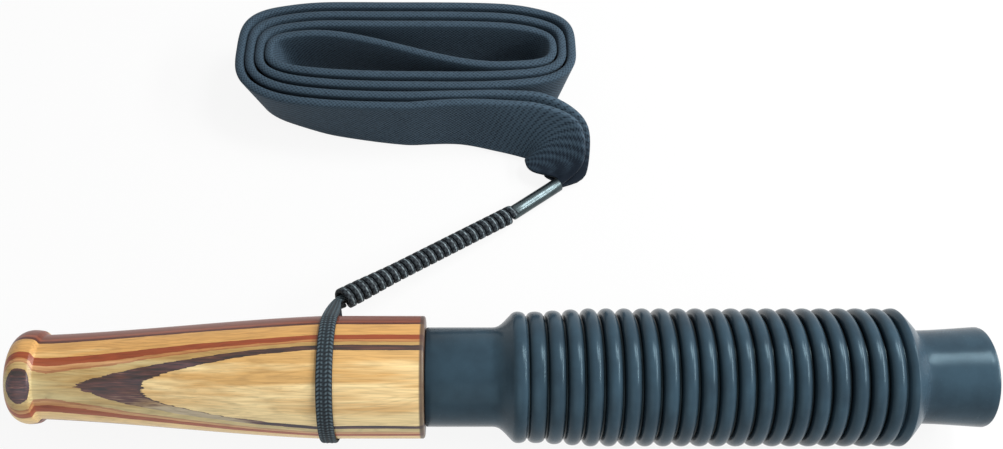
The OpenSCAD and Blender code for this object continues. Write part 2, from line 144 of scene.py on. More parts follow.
# From the call's axis, turned so that Z runs through the stack of veneers.
stack_turn = math.radians(38)
stack_links = {"Vector": wood_place, "Location": (0, 0, axis_height / MM), "Rotation": (stack_turn, 0, 0)}
stack = add_node(wood_tree, "ShaderNodeMapping", stack_links, vector_type="TEXTURE")
stack_parts = add_node(wood_tree, "ShaderNodeSeparateXYZ", {0: stack})
# Noise in the wood: glue lines wander over 30 mm of length, grain streaks are 0.4 mm wide and 12 mm long,
# pores are 0.25 mm wide and 5 mm long, and the arches and stains are 5 mm wide and 40 mm long.
grain = {}
for name, scale, detail in (
    ("wander", (0.035, 0.12, 0.12), 2),
    ("streaks", (0.08, 2.4, 2.4), 5),
    ("pores", (0.2, 4, 4), 2),
    ("arches", (0.025, 0.2, 0.2), 1),
    ("stain", (0.03, 0.3, 0.3), 3),
):
    place = add_node(wood_tree, "ShaderNodeMapping", {"Vector": stack, "Scale": scale})
    grain[name] = add_node(
        wood_tree, "ShaderNodeTexNoise", {"Vector": place, "Scale": 1, "Detail": detail}
    )
# Veneers are pressed a little thinner at the lip, and the outer purple one below. Those under it dip by
# 0.09 mm for each mm above the middle. Dye creeps along the grain, so the layers' edges feather.
# A Map Range reads the range of its inputs 1 and 2 and gives that of its inputs 3 and 4.
thinning = add_node(
    wood_tree, "ShaderNodeMapRange", {0: stack_parts.outputs[0], 1: -112, 2: -109, 3: 1.033, 4: 1}
)
value = {
    **grain,
    "along": stack_parts.outputs[0],
    "across": stack_parts.outputs[1],
    "height": stack_parts.outputs[2],
    "thinning": thinning,
}
for result, operation, *terms in (
    ("depth", "MULTIPLY_ADD", "wander", 0.7, "height"),
    ("depth", "MULTIPLY_ADD", "streaks", 0.36, "depth"),
    ("depth", "SUBTRACT", "depth", 0.53),
    ("depth", "MULTIPLY", "depth", "thinning"),
    ("outer", "SUBTRACT", "depth", 11),
    ("outer", "MAXIMUM", "outer", 0),
    ("below", "MINIMUM", "across", 0),
    ("below", "MULTIPLY", "below", -0.05),
    ("depth", "MULTIPLY_ADD", "outer", "below", "depth"),
    ("dip", "MULTIPLY_ADD", "depth", -0.5, 6.03),
    ("dip", "MINIMUM", "dip", 1),
    ("dip", "MAXIMUM", "dip", 0),
    ("above", "MAXIMUM", "across", 0),
    ("dip", "MULTIPLY", "dip", "above"),
    ("depth", "MULTIPLY_ADD", "dip", -0.088, "depth"),
    # Painted reflection: below, within 20 mm of the middle of the taper, the plum is pushed towards pale
    # grey-beige.
    ("lacquer_reflection", "ADD", "along", 76),
    ("lacquer_reflection", "ABSOLUTE", "lacquer_reflection"),
    ("lacquer_reflection", "MULTIPLY_ADD", "lacquer_reflection", -0.05, 1),
    ("lacquer_reflection", "MAXIMUM", "lacquer_reflection", 0),
    ("lacquer_reflection", "MULTIPLY", "lacquer_reflection", "below"),
    ("dye_and_reflection", "MULTIPLY_ADD", "lacquer_reflection", 2.9, "streaks"),
    ("from_middle", "ABSOLUTE", "depth"),
    ("in_plum", "COMPARE", "from_middle", 11.53, 0.53),
    ("rings", "MULTIPLY", "arches", 75),
    ("rings", "SINE", "rings"),
    ("stain", "MULTIPLY_ADD", "across", -0.02, "stain"),
):
    links = {i: value.get(term, term) for i, term in enumerate(terms)}
    value[result] = add_node(wood_tree, "ShaderNodeMath", links, operation=operation)
veneer_span = 16
layer = add_node(
    wood_tree, "ShaderNodeMapRange", {0: value["depth"], 1: -veneer_span, 2: veneer_span, 3: 0, 4: 1}
)
veneers = add_node(wood_tree, "ShaderNodeValToRGB", {0: layer})
veneers.color_ramp.interpolation = "CONSTANT"
veneers.color_ramp.elements.remove(veneers.color_ramp.elements[1])
# The stack is alike on both sides of its middle. Each colour starts at this many mm from there.
stack_half = (
    (0, "#84504A"),
    (2.3, "#9C6258"),
    (3.3, "#5C3028"),
    (4.2, "#F0D29C"),
    (7.9, "#A65C40"),
    (9.2, "#D3A981"),
    (9.7, "#B98C6C"),
    (9.95, "#CFC094"),
    (11, "#4A4048"),
    (12.06, "#F2DDAE"),
)
veneers.color_ramp.elements[0].color = linear(stack_half[-1][1])
for (_, inner), (start, outer) in zip(stack_half[:-1], stack_half[1:]):
    for place, colour in ((-start, inner), (start, outer)):
        stop = veneers.color_ramp.elements.new((place + veneer_span) / (2 * veneer_span))
        stop.color = linear(colour)
# The purple dye took unevenly, from slate to plum along the grain. Below, within 20 mm of the middle of the
# taper, it is paled to grey-beige as a painted reflection of the white table in the lacquer.
plum = add_node(wood_tree, "ShaderNodeValToRGB", {0: value["dye_and_reflection"]})
set_stops(plum, (0.36, "#3A3B47"), (0.66, "#664B52"), (1, "#BDB2A0"))
# A colour Mix has its two colours at inputs 6 and 7 and its result at output 2.
colour = add_node(
    wood_tree, "ShaderNodeMix", {0: value["in_plum"], 6: veneers, 7: plum}, data_type="RGBA"
).outputs[2]
# Honey stains, and a steady paling towards the front, then shades for the arches
# (contours of slow noise), the streaks and the pores.
stain = add_node(wood_tree, "ShaderNodeValToRGB", {0: value["stain"]})
set_stops(stain, (0.4, "#DCC09A"), (0.64, "#FFFAEC"))
arch_shade = add_node(wood_tree, "ShaderNodeMapRange", {0: value["rings"], 1: 0.2, 2: 1, 3: 1, 4: 0.88})
streak_shade = add_node(
    wood_tree, "ShaderNodeMapRange", {0: grain["streaks"], 1: 0.32, 2: 0.6, 3: 0.8, 4: 1.03}
)
pore_shade = add_node(wood_tree, "ShaderNodeMapRange", {0: grain["pores"], 1: 0.62, 2: 0.7, 3: 1, 4: 0.8})
for shade in (stain, arch_shade, streak_shade, pore_shade):
    colour = add_node(
        wood_tree,
        "ShaderNodeMix",
        {0: 1.0, 6: colour, 7: shade},
        data_type="RGBA",
        blend_type="MULTIPLY",
    ).outputs[2]
# The rounded edge at the big end is darkened towards #443630 as painted shade.
big_end_x = barrel_high.x / MM
end_shade = add_node(
    wood_tree,
    "ShaderNodeMapRange",
    {0: stack_parts.outputs[0], 1: big_end_x - 1.3, 2: big_end_x - 0.9, 3: 0, 4: 0.9},
)
colour = add_node(
    wood_tree, "ShaderNodeMix", {0: end_shade, 6: colour, 7: linear("#443630")}, data_type="RGBA"
).outputs[2]
grain_bump = add_node(
    wood_tree, "ShaderNodeBump", {"Strength": 0.2, "Distance": 0.04 * MM, "Height": grain["streaks"]}
)
set_inputs(
    wood_finish,
    {
        "Base Color": colour,
        "Normal": grain_bump,
        "Roughness": 0.45,
        "Specular IOR Level": 0.3,
        "Coat Weight": 0.2,
        "Coat Roughness": 0.22,
    },
)

# Lengths from the mouth and radii, in mm.
mouth_face_r = 7.8
mouth_bore_r = 4.75
lip_r = 11.6
lip_round_len = 4.4
lip_len = 6.3
lip_drop = 0.2
lip_back_len = 1.5
neck_r = 10.4
barrel_r = 15.1
barrel_len = 102
big_end_len = 26
end_round_r = 0.6
chamber_r = 8
chamber_at = 40
lip_round = [
    (lip_round_len * (1 - math.cos(a)), mouth_face_r + (lip_r - mouth_face_r) * math.sin(a))
    for a in np.linspace(0, math.pi / 2, 20)
]
lip_crest = [
    (lip_round_len + (lip_len - lip_round_len) * u, lip_r - lip_drop * u**2)
    for u in np.linspace(0, 1, 8)[1:]
]
crest_end_r = lip_r - lip_drop
lip_back = [
    (lip_len + lip_back_len * u, crest_end_r - (crest_end_r - neck_r) * eased(u))
    for u in np.linspace(0, 1, 10)[1:]
]
neck_at = lip_len + lip_back_len
taper_len = barrel_len - big_end_len - neck_at
taper = [
    (neck_at + taper_len * u, neck_r + (barrel_r - neck_r) * (0.6 * u + 0.4 * eased(u)))
    for u in np.linspace(0, 1, 48)[1:]
]
end_round = [
    (barrel_len - end_round_r * (1 - math.sin(a)), barrel_r - end_round_r * (1 - math.cos(a)))
    for a in np.linspace(0, math.pi / 2, 7)
]
bore_mouth = [(barrel_len, chamber_r + 0.4), (barrel_len - 0.4, chamber_r), (chamber_at, chamber_r)]
bore = bore_mouth + [(chamber_at, mouth_bore_r), (0.5, mouth_bore_r), (0, mouth_bore_r + 0.5)]
barrel_section = lip_round + lip_crest + lip_back + taper + end_round + bore
barrel = turned("turned_barrel", barrel_section, on_call, wood, 192)
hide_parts("barrel")
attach(barrel, "barrel")

# Insert
# A plug with a tone board in front and a stub behind, moulded in one from black ABS. The plug is pushed
# into the barrel's big end, and the hose's cuff is stretched over the stub.


def dress(finish, *nodes):
    """Gives CAD nodes this material alone."""
    for node in nodes:
        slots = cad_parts[node].data.materials
        slots.clear()
        slots.append(finish)


abs_plastic, abs_tree, abs_finish, abs_place = new_material("moulded_black_abs")
# Spark-eroded mould skin of about 0.3 mm grain, with slow flow marks along the moulding, 2 mm wide and
# 12 mm long.
abs_skin = add_node(abs_tree, "ShaderNodeTexNoise", {"Vector": abs_place, "Scale": 3.2, "Detail": 4})
abs_drawn = add_node(abs_tree, "ShaderNodeMapping", {"Vector": abs_place, "Scale": (0.08, 0.5, 0.5)})
abs_flow = add_node(abs_tree, "ShaderNodeTexNoise", {"Vector": abs_drawn, "Scale": 1, "Detail": 2})
abs_colour = add_node(abs_tree, "ShaderNodeValToRGB", {0: abs_flow})
set_stops(abs_colour, (0.3, "#191A1C"), (0.7, "#26282B"))
abs_rough = add_node(abs_tree, "ShaderNodeMapRange", {0: abs_skin, 1: 0.3, 2: 0.7, 3: 0.36, 4: 0.52})
abs_bump = add_node(
    abs_tree, "ShaderNodeBump", {"Strength": 0.3, "Distance": 0.02 * MM, "Height": abs_skin}
)
set_inputs(abs_finish, {"Base Color": abs_colour, "Roughness": abs_rough, "Normal": abs_bump})
dress(abs_plastic, "insert")

# Reed
# A strip of frosted polyester film, cut square, which buzzes over the tone board's sloping face. Its root
# is clamped in the plug's slot.

film, film_tree, film_finish, film_place = new_material("frosted_polyester_film")
# Frosting of about 0.2 mm specks, with faint scratches along the strip, 0.3 mm wide and 7 mm long.
film_frost = add_node(film_tree, "ShaderNodeTexNoise", {"Vector": film_place, "Scale": 5, "Detail": 3})
film_drawn = add_node(film_tree, "ShaderNodeMapping", {"Vector": film_place, "Scale": (0.15, 3, 3)})
film_scratch = add_node(film_tree, "ShaderNodeTexNoise", {"Vector": film_drawn, "Scale": 1, "Detail": 3})
film_colour = add_node(film_tree, "ShaderNodeValToRGB", {0: film_scratch})
set_stops(film_colour, (0.35, "#D2D0C6"), (0.65, "#E6E5DC"))
film_bump = add_node(
    film_tree, "ShaderNodeBump", {"Strength": 0.3, "Distance": 0.01 * MM, "Height": film_frost}
)
set_inputs(film_finish, {"Base Color": film_colour, "Normal": film_bump, "Roughness": 0.38, "IOR": 1.57})
dress(film, "reed")

# Cork wedge
# A slip of pressed cork, cut from sheet and pushed into the plug's slot over the reed's root to hold it.
# It is pulled out to change the reed.

cork, cork_tree, cork_finish, cork_place = new_material("pressed_cork")
# Granules 0.8 mm across, each with its own tone, and dark gaps between them.
granules = add_node(cork_tree, "ShaderNodeTexVoronoi", {"Vector": cork_place, "Scale": 1.2})
granule_gaps = add_node(
    cork_tree, "ShaderNodeTexVoronoi", {"Vector": cork_place, "Scale": 1.2}, feature="DISTANCE_TO_EDGE"
)
granule_tone = add_node(cork_tree, "ShaderNodeValToRGB", {0: granules.outputs["Color"]})
set_stops(granule_tone, (0, "#9A6A3E"), (1, "#C99A66"))
gap_shade = add_node(cork_tree, "ShaderNodeMapRange", {0: granule_gaps, 1: 0, 2: 0.12, 3: 0.45, 4: 1})
cork_colour = add_node(
    cork_tree,
    "ShaderNodeMix",
    {0: 1.0, 6: granule_tone, 7: gap_shade},
    data_type="RGBA",
    blend_type="MULTIPLY",
)
cork_bump = add_node(
    cork_tree, "ShaderNodeBump", {"Strength": 0.5, "Distance": 0.06 * MM, "Height": gap_shade}
)
set_inputs(cork_finish, {"Base Color": cork_colour.outputs[2], "Normal": cork_bump, "Roughness": 0.85})
dress(cork, "cork_wedge")

# Tuning ring and seal rings
# Nitrile rubber: a flat-topped ring that is slid along the board and the reed to change the pitch, and
# two O-rings in the plug's grooves that grip the chamber.

nitrile, nitrile_tree, nitrile_finish, nitrile_place = new_material("nitrile_rubber")
# A matt skin of 0.25 mm grain with paler bloom in patches of about 2 mm.
nitrile_skin = add_node(
    nitrile_tree, "ShaderNodeTexNoise", {"Vector": nitrile_place, "Scale": 4, "Detail": 3}
)
nitrile_bloom = add_node(
    nitrile_tree, "ShaderNodeTexNoise", {"Vector": nitrile_place, "Scale": 0.5, "Detail": 3}
)
nitrile_colour = add_node(nitrile_tree, "ShaderNodeValToRGB", {0: nitrile_bloom})
set_stops(nitrile_colour, (0.35, "#141516"), (0.75, "#26282A"))
nitrile_bump = add_node(
    nitrile_tree, "ShaderNodeBump", {"Strength": 0.3, "Distance": 0.02 * MM, "Height": nitrile_skin}
)
set_inputs(nitrile_finish, {"Base Color": nitrile_colour, "Normal": nitrile_bump, "Roughness": 0.6})
dress(nitrile, "tuning_ring", "seal_ring_front", "seal_ring_rear")

# Hose
# One moulding in soft black rubber: a plain cuff that grips the insert's stub, a shoulder, twenty round
# ribs, a rounded end shoulder and a plain outlet.

rubber, rubber_tree, rubber_finish, rubber_place = new_material("moulded_soft_rubber")
# Satin mould skin of 0.4 mm grain, a grey-blue bloom in clouds of about 8 mm, and painted shade that
# darkens the grooves nearly to black.
rubber_skin = add_node(
    rubber_tree, "ShaderNodeTexNoise", {"Vector": rubber_place, "Scale": 2.5, "Detail": 4}
)
rubber_bloom = add_node(
    rubber_tree, "ShaderNodeTexNoise", {"Vector": rubber_place, "Scale": 0.12, "Detail": 5}
)
rubber_colour = add_node(rubber_tree, "ShaderNodeValToRGB", {0: rubber_bloom})
set_stops(rubber_colour, (0.3, "#293843"), (0.7, "#344855"))
# Painted shade: a mask of how far into a groove each point lies mixes the colour towards near black.
groove_shade = add_node(rubber_tree, "ShaderNodeAttribute", attribute_name="groove_shade")
rubber_shaded = add_node(
    rubber_tree,
    "ShaderNodeMix",
    {0: groove_shade.outputs["Fac"], 6: rubber_colour, 7: linear("#04080B")},
    data_type="RGBA",
)
rubber_rough = add_node(
    rubber_tree, "ShaderNodeMapRange", {0: rubber_skin, 1: 0.3, 2: 0.7, 3: 0.2, 4: 0.28}
)
rubber_bump = add_node(
    rubber_tree, "ShaderNodeBump", {"Strength": 0.2, "Distance": 0.02 * MM, "Height": rubber_skin}
)
set_inputs(
    rubber_finish,
    {
        "Base Color": rubber_shaded.outputs[2],
        "Roughness": rubber_rough,
        "Normal": rubber_bump,
        "Specular IOR Level": 0.22,
        "Specular Tint": linear("#B9DCEA"),
    },
)

rib_pitch = 4.465
bead_r = 0.47 * rib_pitch
rib_half_width = 2
groove_r = 15.1
hose_bore_r = 13.9
rib_r = 17
lead_drop = 0.8


def new_rule(name, **sizes):
    """A Geometry Nodes tree that makes a shape, and the sockets of its sizes, which are named by kind."""
    rule = bpy.data.node_groups.new(name, "GeometryNodeTree")
    rule.interface.new_socket("Shape", in_out="OUTPUT", socket_type="NodeSocketGeometry")
    for kind, names in sizes.items():
        for size_name in names.split():
            rule.interface.new_socket(size_name, in_out="INPUT", socket_type="NodeSocket" + kind)
    group_input = add_node(rule, "NodeGroupInput")
    return rule, {socket.name: socket for socket in group_input.outputs if socket.name}


# The rule of the ribs, as a tree: a grid is bent to a tube whose wall is a closed loop, the ribs outside
# and the plain bore inside. A full round rib stands in each pitch, and the first three ribs are lower.
hose_rule, value = new_rule(
    "ribbed_hose",
    Float="start pitch rib_radius rib_half_width groove_radius bore_radius lead_drop axis_height",
    Int="ribs first_rib steps_per_rib sides",
    Material="rubber",
)
value["index"] = add_node(hose_rule, "GeometryNodeInputIndex")
bore_steps = 14
rib_fullness = 2.2
for result, operation, *terms in (
    ("rows", "ADD", "sides", 1),
    ("outer_steps", "MULTIPLY", "ribs", "steps_per_rib"),
    ("loop", "ADD", "outer_steps", bore_steps + 2),
    ("columns", "ADD", "loop", 1),
    ("grid_column", "DIVIDE", "index", "rows"),
    ("grid_column", "FLOOR", "grid_column"),
    ("column", "MODULO", "grid_column", "loop"),
    ("row", "MODULO", "index", "rows"),
    ("outer_end", "ADD", "outer_steps", 0.5),
    ("outside", "LESS_THAN", "column", "outer_end"),
    ("outer_share", "DIVIDE", "column", "outer_steps"),
    ("bore_step", "SUBTRACT", "column", "outer_end"),
    ("bore_step", "SUBTRACT", "bore_step", 0.5),
    ("bore_share", "DIVIDE", "bore_step", -bore_steps),
    ("bore_share", "ADD", "bore_share", 1),
    ("share_step", "SUBTRACT", "outer_share", "bore_share"),
    ("share", "MULTIPLY_ADD", "outside", "share_step", "bore_share"),
    ("rib_phase", "MULTIPLY", "share", "ribs"),
    ("from_crest", "FRACT", "rib_phase"),
    ("from_crest", "SUBTRACT", "from_crest", 0.5),
    ("from_crest", "MULTIPLY", "from_crest", "pitch"),
    ("rib_number", "FLOOR", "rib_phase"),
    ("rib_number", "ADD", "rib_number", "first_rib"),
    ("lead", "MULTIPLY_ADD", "rib_number", -1 / 3, 1),
    ("lead", "MAXIMUM", "lead", 0),
    ("lead", "MULTIPLY", "lead", "lead_drop"),
    ("crest", "SUBTRACT", "rib_radius", "lead"),
    ("reach", "ABSOLUTE", "from_crest"),
    ("reach", "DIVIDE", "reach", "rib_half_width"),
    ("reach", "MINIMUM", "reach", 1),
    ("reach", "POWER", "reach", rib_fullness),
    ("fall", "SUBTRACT", 1, "reach"),
    ("fall", "SQRT", "fall"),
    ("groove_shade", "SUBTRACT", 1, "fall"),
    ("rise", "SUBTRACT", "crest", "groove_radius"),
    ("outer_radius", "MULTIPLY_ADD", "fall", "rise", "groove_radius"),
    ("wall", "SUBTRACT", "outer_radius", "bore_radius"),
    ("radius", "MULTIPLY_ADD", "outside", "wall", "bore_radius"),
    ("length", "MULTIPLY", "ribs", "pitch"),
    ("x", "MULTIPLY_ADD", "share", "length", "start"),
    ("turn", "DIVIDE", "row", "sides"),
    ("turn", "MULTIPLY", "turn", -math.tau),
    ("y", "COSINE", "turn"),
    ("y", "MULTIPLY", "y", "radius"),
    ("z", "SINE", "turn"),
    ("z", "MULTIPLY_ADD", "z", "radius", "axis_height"),
    ("z", "MAXIMUM", "z", 0),
):
    links = {i: value.get(term, term) for i, term in enumerate(terms)}
    value[result] = add_node(hose_rule, "ShaderNodeMath", links, operation=operation)
hose_grid = add_node(
    hose_rule, "GeometryNodeMeshGrid", {"Vertices X": value["columns"], "Vertices Y": value["rows"]}
)
hose_point = add_node(hose_rule, "ShaderNodeCombineXYZ", {i: value[k] for i, k in enumerate("xyz")})
hose_bent = add_node(
    hose_rule, "GeometryNodeSetPosition", {"Geometry": hose_grid, "Position": hose_point}
)
# The groove mask is stored for the rubber's painted shade in the grooves.
hose_marked = add_node(
    hose_rule,
    "GeometryNodeStoreNamedAttribute",
    {"Geometry": hose_bent, "Name": "groove_shade", "Value": value["groove_shade"]},
    data_type="FLOAT",
    domain="POINT",
)
hose_closed = add_node(
    hose_rule, "GeometryNodeMergeByDistance", {"Geometry": hose_marked, "Distance": 0.001 * MM}
)
hose_smooth = add_node(hose_rule, "GeometryNodeSetShadeSmooth", {0: hose_closed})
hose_real = add_node(hose_rule, "GeometryNodeRealizeInstances", {0: hose_smooth})
hose_dressed = add_node(
    hose_rule, "GeometryNodeSetMaterial", {"Geometry": hose_real, "Material": value["rubber"]}
)
add_node(hose_rule, "NodeGroupOutput", {0: hose_dressed})


def grown(name, rule, sizes):
    """A plain mesh piece that a Geometry Nodes tree makes from these sizes."""
    piece = add_object(name, bpy.data.meshes.new(name))
    maker = piece.modifiers.new(name, "NODES")
    maker.node_group = rule
    for socket in rule.interface.items_tree:
        if socket.in_out == "INPUT":
            maker[socket.identifier] = sizes[socket.name]
    graph = bpy.context.evaluated_depsgraph_get()
    mesh = bpy.data.meshes.new_from_object(
        piece.evaluated_get(graph), preserve_all_data_layers=True, depsgraph=graph
    )
    piece.modifiers.clear()
    piece.data = mesh
    mesh.name = name
    mesh.set_sharp_from_angle(angle=math.radians(50))
    return piece


rib_number = 0
for node, ribs, fixed_body, moving_body in (
    ("hose_bellows_front", 7, "insert", "hose_middle"),
    ("hose_bellows_middle", 7, "hose_middle", "hose_rear"),
    ("hose_bellows_rear", 6, "hose_rear", "hose_outlet"),
):
    low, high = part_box(node)
    stretch = grown(
        node.replace("hose_", "ribbed_"),
        hose_rule,
        {
            "start": low.x,
            "ribs": ribs,
            "first_rib": rib_number,
            "pitch": (high.x - low.x) / ribs,
            "rib_radius": rib_r * MM,
            "rib_half_width": rib_half_width * MM,
            "groove_radius": groove_r * MM,
            "bore_radius": hose_bore_r * MM,
            "lead_drop": lead_drop * MM,
            "axis_height": axis_height,
            "steps_per_rib": 28,
            "sides": 160,
            "rubber": rubber,
        },
    )
    rib_number += ribs
    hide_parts(node)
    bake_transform(stretch)


def rib_side(crest_at, crest_r, ends):
    """Section of a rib's side from its crest towards the groove, in the ribs' own shape."""
    rise = crest_r - groove_r
    return [
        (crest_at + ends * rib_half_width * u, groove_r + rise * math.sqrt(1 - u**rib_fullness))
        for u in np.linspace(0, 1, 16)[1:]
    ]


# The cuff's mouth is rounded, and it flares in one sweep to the first rib.
# Its bore steps down to the stub a little way before the ribs start.
cuff_at = 102.1
cuff_end = 127.1
cuff_r = 12.25
stub_r = 10.65
wide_bore_len = 1.6
lead_rib_at = cuff_end - rib_pitch / 2
lead_rib_r = rib_r - lead_drop
cuff_mouth = [(cuff_at, stub_r), (cuff_at, 11.8), (cuff_at + 0.1, 12.05), (cuff_at + 0.4, cuff_r)]
flare = [(118.6, cuff_r), (119.4, 12.32), (120.2, 12.6), (121, 13.16), (121.8, 13.92), (122.6, 14.76)]
lead_rib = [
    (lead_rib_at + bead_r * math.cos(a), lead_rib_r - bead_r + bead_r * math.sin(a))
    for a in np.linspace(math.radians(142), math.radians(90), 10)
]
cuff_bore = [(cuff_end, groove_r), (cuff_end, hose_bore_r)]
cuff_bore += [(cuff_end - wide_bore_len, hose_bore_r), (120, stub_r)]
cuff_section = cuff_mouth + flare + lead_rib + rib_side(lead_rib_at, lead_rib_r, 1) + cuff_bore
cuff = turned("hose_plain_cuff", cuff_section, on_call, rubber)
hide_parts("hose_cuff")
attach(cuff, "insert")

# The outlet starts with half a rib that slopes off to the plain end, which flares a little to its rim.
call_len = 240
outlet_at = cuff_end + rib_number * rib_pitch
outlet_r = 11.6
outlet_bore_r = 9.9
shoulder_len = 4.7675
shoulder_fullness = 1.85
end_crest = outlet_at + rib_pitch / 2
end_rib = rib_side(end_crest, rib_r, -1)[::-1]
shoulder_turn = np.linspace(0, 1.52, 24)
shoulder_x = end_crest + shoulder_len * np.sin(shoulder_turn) ** shoulder_fullness
shoulder_r = outlet_r + (rib_r - outlet_r) * np.cos(shoulder_turn) ** shoulder_fullness
end_shoulder = list(zip(shoulder_x, shoulder_r))
end_tube = [(223.9, 11.56), (224.6, 11.52), (225.6, 11.52), (228, 11.6), (232, 11.84), (238, 12.25)]
end_rim = [(call_len - 0.6, 12.33), (call_len - 0.2, 12.2), (call_len, 11.9), (call_len, 10.4)]
end_bore = [(call_len - 0.2, 10.1), (call_len - 0.6, outlet_bore_r), (221.8, outlet_bore_r)]
end_bore += [(outlet_at + wide_bore_len, hose_bore_r), (outlet_at, hose_bore_r), (outlet_at, groove_r)]
outlet_section = end_rib + end_shoulder + end_tube + end_rim + end_bore
outlet = turned("hose_plain_outlet", outlet_section, on_call, rubber)
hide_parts("hose_outlet")
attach(outlet, "hose_outlet")
# The flat that the hose's weight presses under its ribs.
for piece in (cuff, outlet):
    for vertex in piece.data.vertices:
        vertex.co.z = max(vertex.co.z, 0)

# Noose cord
# A flat braid of black polyester looped round the barrel. Its two legs run under the whipping into the
# crimp. The braid shows four columns of slanting stitches on its outside.

knot = np.array([-42, 24, 12])
crimp_from = np.array([5.5, 58.5, 3.2])
crimp_to = np.array([19.5, 69.5, 2.6])
noose_x = -41.5
noose_mid_r = 15.72
noose_wide = 4
leg_wide = 2
cord_thick = 1
leg_offset = 0.65
leg_grip = 6
whip_dir = (crimp_from - knot) / np.linalg.norm(crimp_from - knot)
whip_up = np.array([0, 0, 1]) - whip_dir * whip_dir[2]
whip_up /= np.linalg.norm(whip_up)
whip_side = np.cross(whip_dir, whip_up)


def run_along(points):
    """Length along a line of points, from its start to each of them."""
    return np.concatenate([[0], np.cumsum(np.linalg.norm(np.diff(points, axis=0), axis=1))])


def mark(piece, name, values):
    """Stores a value for each vertex of a piece."""
    marks = piece.data.attributes.new(name, "FLOAT", "POINT")
    marks.data.foreach_set("value", values.astype(np.float32).ravel())


def swept(name, centre, across, out, width, thickness, section, relief, finish):
    """A closed band through stations in mm. Section points go from -1 to 1 across it and out of it.
    Relief raises each point, in mm. UVs are mm round the section and along the band."""
    rings = (
        centre[:, None]
        + across[:, None] * (section[:, 0] * width[:, None] / 2)[..., None]
        + out[:, None] * (section[:, 1] * thickness[:, None] / 2 + relief)[..., None]
    )
    count, sides = rings.shape[:2]
    i, k = np.meshgrid(np.arange(count - 1), np.arange(sides), indexing="ij")
    following = (k + 1) % sides
    quads = np.stack(
        [i * sides + k, i * sides + following, (i + 1) * sides + following, (i + 1) * sides + k], -1
    ).reshape(-1, 4)
    caps = [list(range(sides))[::-1], list(range((count - 1) * sides, count * sides))]
    mesh = bpy.data.meshes.new(name)
    mesh.from_pydata((rings * MM).reshape(-1, 3).tolist(), [], quads.tolist() + caps)
    steps = np.linalg.norm(np.roll(rings, -1, 1) - rings, axis=2)
    round_mm = np.concatenate([np.zeros((count, 1)), np.cumsum(steps, 1)], 1)
    along_mm = run_along(centre)
    corners = np.stack(
        [
            np.stack([round_mm[i, k], round_mm[i, k + 1], round_mm[i + 1, k + 1], round_mm[i + 1, k]], -1),
            along_mm[np.stack([i, i, i + 1, i + 1], -1)],
        ],
        -1,
    ).reshape(-1, 2)
    layout = mesh.uv_layers.new(name="weave")
    corners = np.concatenate([corners, np.zeros((2 * sides, 2))])
    layout.data.foreach_set("uv", corners.astype(np.float32).ravel())
    mesh.shade_smooth()
    mesh.materials.append(finish)
    return add_object(name, mesh)


def unit_rows(rows):
    """The rows, each of length 1."""
    return rows / np.linalg.norm(rows, axis=1)[:, None]


# Black polyester braid: a stitch pattern painted dark in the valleys between yarns, as painted shade, and
# grey-green on their crests, as a painted sheen.
braid, braid_tree, braid_finish, braid_place = new_material("flat_polyester_braid")
braid_stitch_sheen = add_node(braid_tree, "ShaderNodeAttribute", attribute_name="yarn_and_sheen")
# Fibre ends and lint of about 0.3 mm.
braid_lint = add_node(braid_tree, "ShaderNodeTexNoise", {"Vector": braid_place, "Scale": 3, "Detail": 4})
braid_tone = add_node(
    braid_tree,
    "ShaderNodeMath",
    {0: braid_lint, 1: 0.35, 2: braid_stitch_sheen.outputs["Fac"]},
    operation="MULTIPLY_ADD",
)
braid_colour = add_node(braid_tree, "ShaderNodeValToRGB", {0: braid_tone})
set_stops(braid_colour, (0.45, "#0A1016"), (0.78, "#263239"), (1, "#4C5B62"))
braid_bump = add_node(
    braid_tree, "ShaderNodeBump", {"Strength": 0.3, "Distance": 0.05 * MM, "Height": braid_lint}
)
set_inputs(
    braid_finish,
    {
        "Base Color": braid_colour,
        "Normal": braid_bump,
        "Roughness": 0.7,
        "Specular IOR Level": 0.25,
        "Sheen Weight": 0.04,
    },
)

# The loop leaves the barrel on two tangents that meet at the knot.
knot_run = knot[1:] - np.array([0, axis_height / MM])
knot_angle = math.atan2(knot_run[1], knot_run[0])
leave_angle = math.acos(noose_mid_r / np.linalg.norm(knot_run))
loop_angle = np.linspace(knot_angle + leave_angle, knot_angle + math.tau - leave_angle, 440)
loop_out = np.stack([0 * loop_angle, np.cos(loop_angle), np.sin(loop_angle)], 1)
loop_round = np.array([noose_x, 0, axis_height / MM]) + loop_out * noose_mid_r
leg_share = np.linspace(0, 1, 120)[1:, None]
leg_upper = loop_round[0] + (knot + whip_up * leg_offset - loop_round[0]) * leg_share
leg_lower = loop_round[-1] + (knot - whip_up * leg_offset - loop_round[-1]) * leg_share
noose_centre = np.concatenate([leg_upper[::-1], loop_round, leg_lower])
noose_out = np.concatenate(
    [
        (loop_out[0] + (whip_up - loop_out[0]) * leg_share)[::-1],
        loop_out,
        loop_out[-1] + (-whip_up - loop_out[-1]) * leg_share,
    ]
)
noose_narrow = np.concatenate([leg_share[::-1, 0], 0 * loop_angle, leg_share[:, 0]])
noose_heading = unit_rows(np.gradient(noose_centre, axis=0))
noose_across = unit_rows(np.cross(noose_out, noose_heading))
noose_out = np.cross(noose_heading, noose_across)
noose_along = run_along(noose_centre)
cord_turn = np.arange(32) * math.tau / 32 - math.pi / 2
cord_section = np.stack(
    [
        np.sign(np.cos(cord_turn)) * np.abs(np.cos(cord_turn)) ** 0.75,
        np.sign(np.sin(cord_turn)) * np.abs(np.sin(cord_turn)) ** 0.6,
    ],
    1,
)
